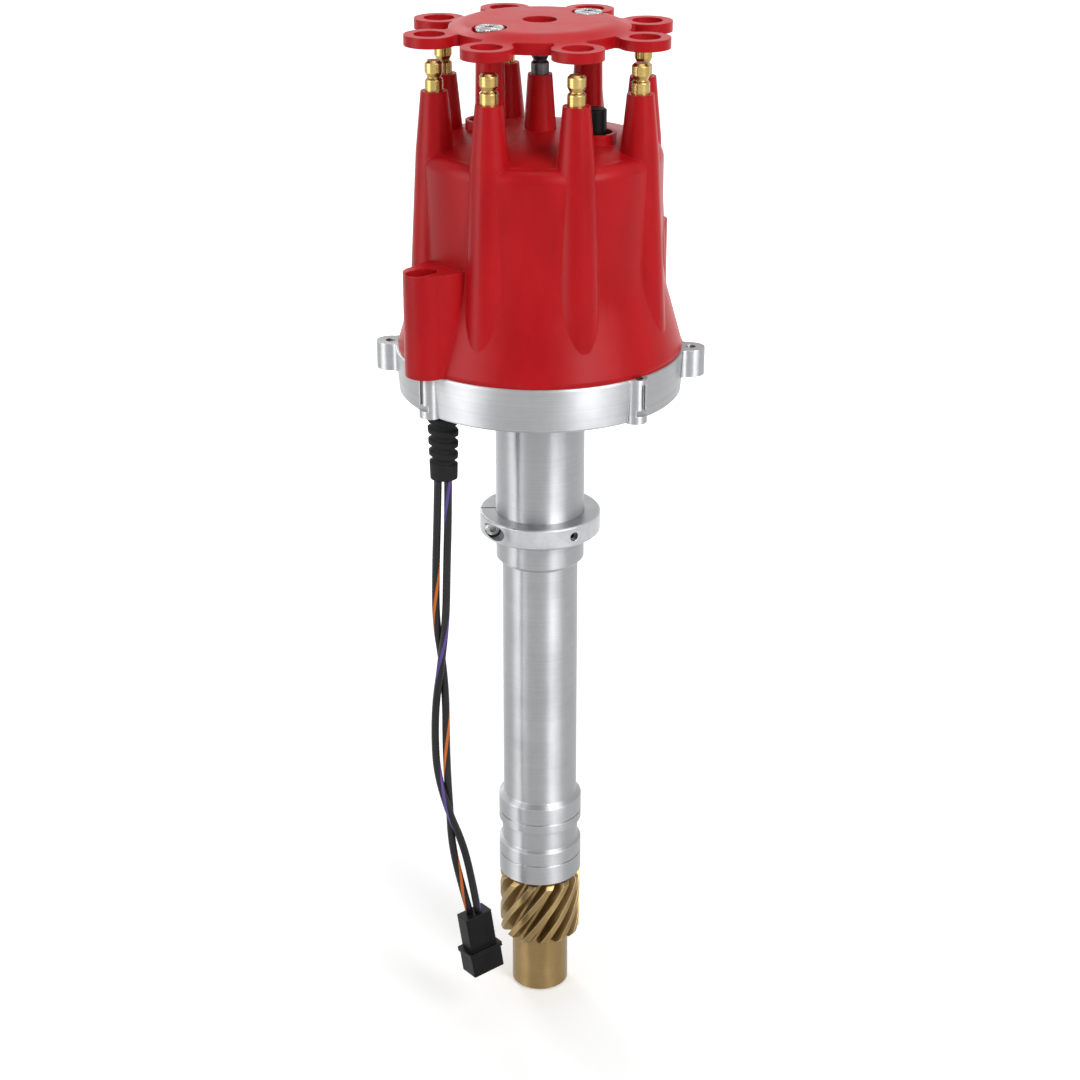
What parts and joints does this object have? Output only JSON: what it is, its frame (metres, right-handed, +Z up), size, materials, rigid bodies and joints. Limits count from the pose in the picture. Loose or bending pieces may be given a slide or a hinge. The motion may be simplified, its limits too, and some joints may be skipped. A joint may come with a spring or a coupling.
{
  "type": "ignition distributor",
  "caption": "Engine-driven ignition distributor: machined housing with slip collar, red cap with plug towers and wire retainer, bronze drive gear and two-wire pickup lead.",
  "frame": {"origin": "on the shaft's axis, in the plane of the slip collar's underside, which seats on the engine", "axes": "+Z up along the shaft towards the cap, -Y the front as in the picture, and the two ears of the bowl on the X axis"},
  "size_m": [0.1194, 0.1044, 0.3879],
  "materials": {
    "machined_aluminium": "bright machined, fine turning lines",
    "zinc_grey": "dull grey zinc plate",
    "bright_steel": "bright zinc plate",
    "dark_steel": "dark oiled steel",
    "ground_steel": "ground steel",
    "bronze": "machined aluminium bronze",
    "sintered_bronze": "sintered bronze",
    "brass": "turned brass",
    "red_plastic": "satin to gloss moulded thermoset",
    "black_plastic": "satin black moulding",
    "rotor_plastic": "glass-filled moulding",
    "black_rubber": "matt rubber",
    "wire_orange": "black insulation with an orange stripe",
    "wire_violet": "black insulation with a violet stripe",
    "carbon": "pressed carbon"
  },
  "bodies": {
    "housing": {"housing": "machined_aluminium", "lower_bushing": "sintered_bronze", "bearing_outer_race": "ground_steel", "snap_ring": "dark_steel", "pickup_bracket": "bright_steel", "pickup_coil": "black_plastic", "pickup_pole": "bright_steel", "pickup_screws": "bright_steel", "strain_relief": "black_rubber", "signal_wire_a": "wire_violet", "signal_wire_b": "wire_orange", "connector_shell": "black_plastic", "connector_pins": "brass"},
    "shaft": {"drive_shaft": "ground_steel", "bearing_inner_race": "ground_steel", "thrust_washer": "sintered_bronze", "drive_gear": "bronze", "gear_roll_pin": "dark_steel", "reluctor": "ground_steel", "advance_base": "ground_steel", "weight_pins": "ground_steel", "advance_spring_a": "dark_steel", "advance_spring_b": "dark_steel"},
    "balls": {"bearing_balls": "ground_steel"},
    "weight_a": {"weight_a": "ground_steel"},
    "weight_b": {"weight_b": "ground_steel"},
    "rotor": {"cam_carrier": "ground_steel", "rotor": "rotor_plastic", "rotor_blade": "brass", "contact_spring": "brass", "rotor_screws": "bright_steel"},
    "cap": {"cap": "red_plastic", "plug_terminal_1": "brass", "plug_terminal_2": "brass", "plug_terminal_3": "brass", "plug_terminal_4": "brass", "plug_terminal_5": "brass", "plug_terminal_6": "brass", "plug_terminal_7": "brass", "plug_terminal_8": "brass", "coil_terminal": "dark_steel", "carbon_button": "carbon", "cap_screws": "bright_steel", "vent_plug": "black_plastic", "wire_retainer": "red_plastic", "retainer_screws": "bright_steel"},
    "collar": {"slip_collar": "zinc_grey", "collar_clamp_screw": "bright_steel", "collar_set_screw": "dark_steel"}
  },
  "joints": [
    {"name": "shaft_spin", "type": "hinge", "parent": "housing", "child": "shaft", "pos_m": [0, 0, -0.1], "axis": [0, 0, -1], "continuous": true},
    {"name": "bearing_ball_set", "type": "hinge", "parent": "housing", "child": "balls", "pos_m": [0, 0, 0.05637], "axis": [0, 0, -1], "continuous": true},
    {"name": "mechanical_advance", "type": "hinge", "parent": "shaft", "child": "rotor", "pos_m": [0, 0, 0.09], "axis": [0, 0, -1], "range_deg": [0, 10.5], "stiffness_Nm_per_rad": 0.6, "springref_deg": -2.86, "deforming": ["advance_spring_a", "advance_spring_b"]},
    {"name": "weight_a_swing", "type": "hinge", "parent": "shaft", "child": "weight_a", "pos_m": [0.00842, -0.02032, 0.084], "axis": [0, 0, -1], "range_deg": [0, 16]},
    {"name": "weight_b_swing", "type": "hinge", "parent": "shaft", "child": "weight_b", "pos_m": [-0.00842, 0.02032, 0.084], "axis": [0, 0, -1], "range_deg": [0, 16]},
    {"name": "cap_lift", "type": "slide", "parent": "housing", "child": "cap", "axis": [0, 0, 1], "range_m": [0, 0.11]},
    {"name": "collar_slide", "type": "slide", "parent": "housing", "child": "collar", "axis": [0, 0, 1], "range_m": [-0.008, 0.036]}
  ],
  "couplings": [
    {"joint": "bearing_ball_set", "follows": "shaft_spin", "ratio": 0.38},
    {"joint": "weight_a_swing", "follows": "mechanical_advance", "ratio": 1.52},
    {"joint": "weight_b_swing", "follows": "mechanical_advance", "ratio": 1.52}
  ]
}
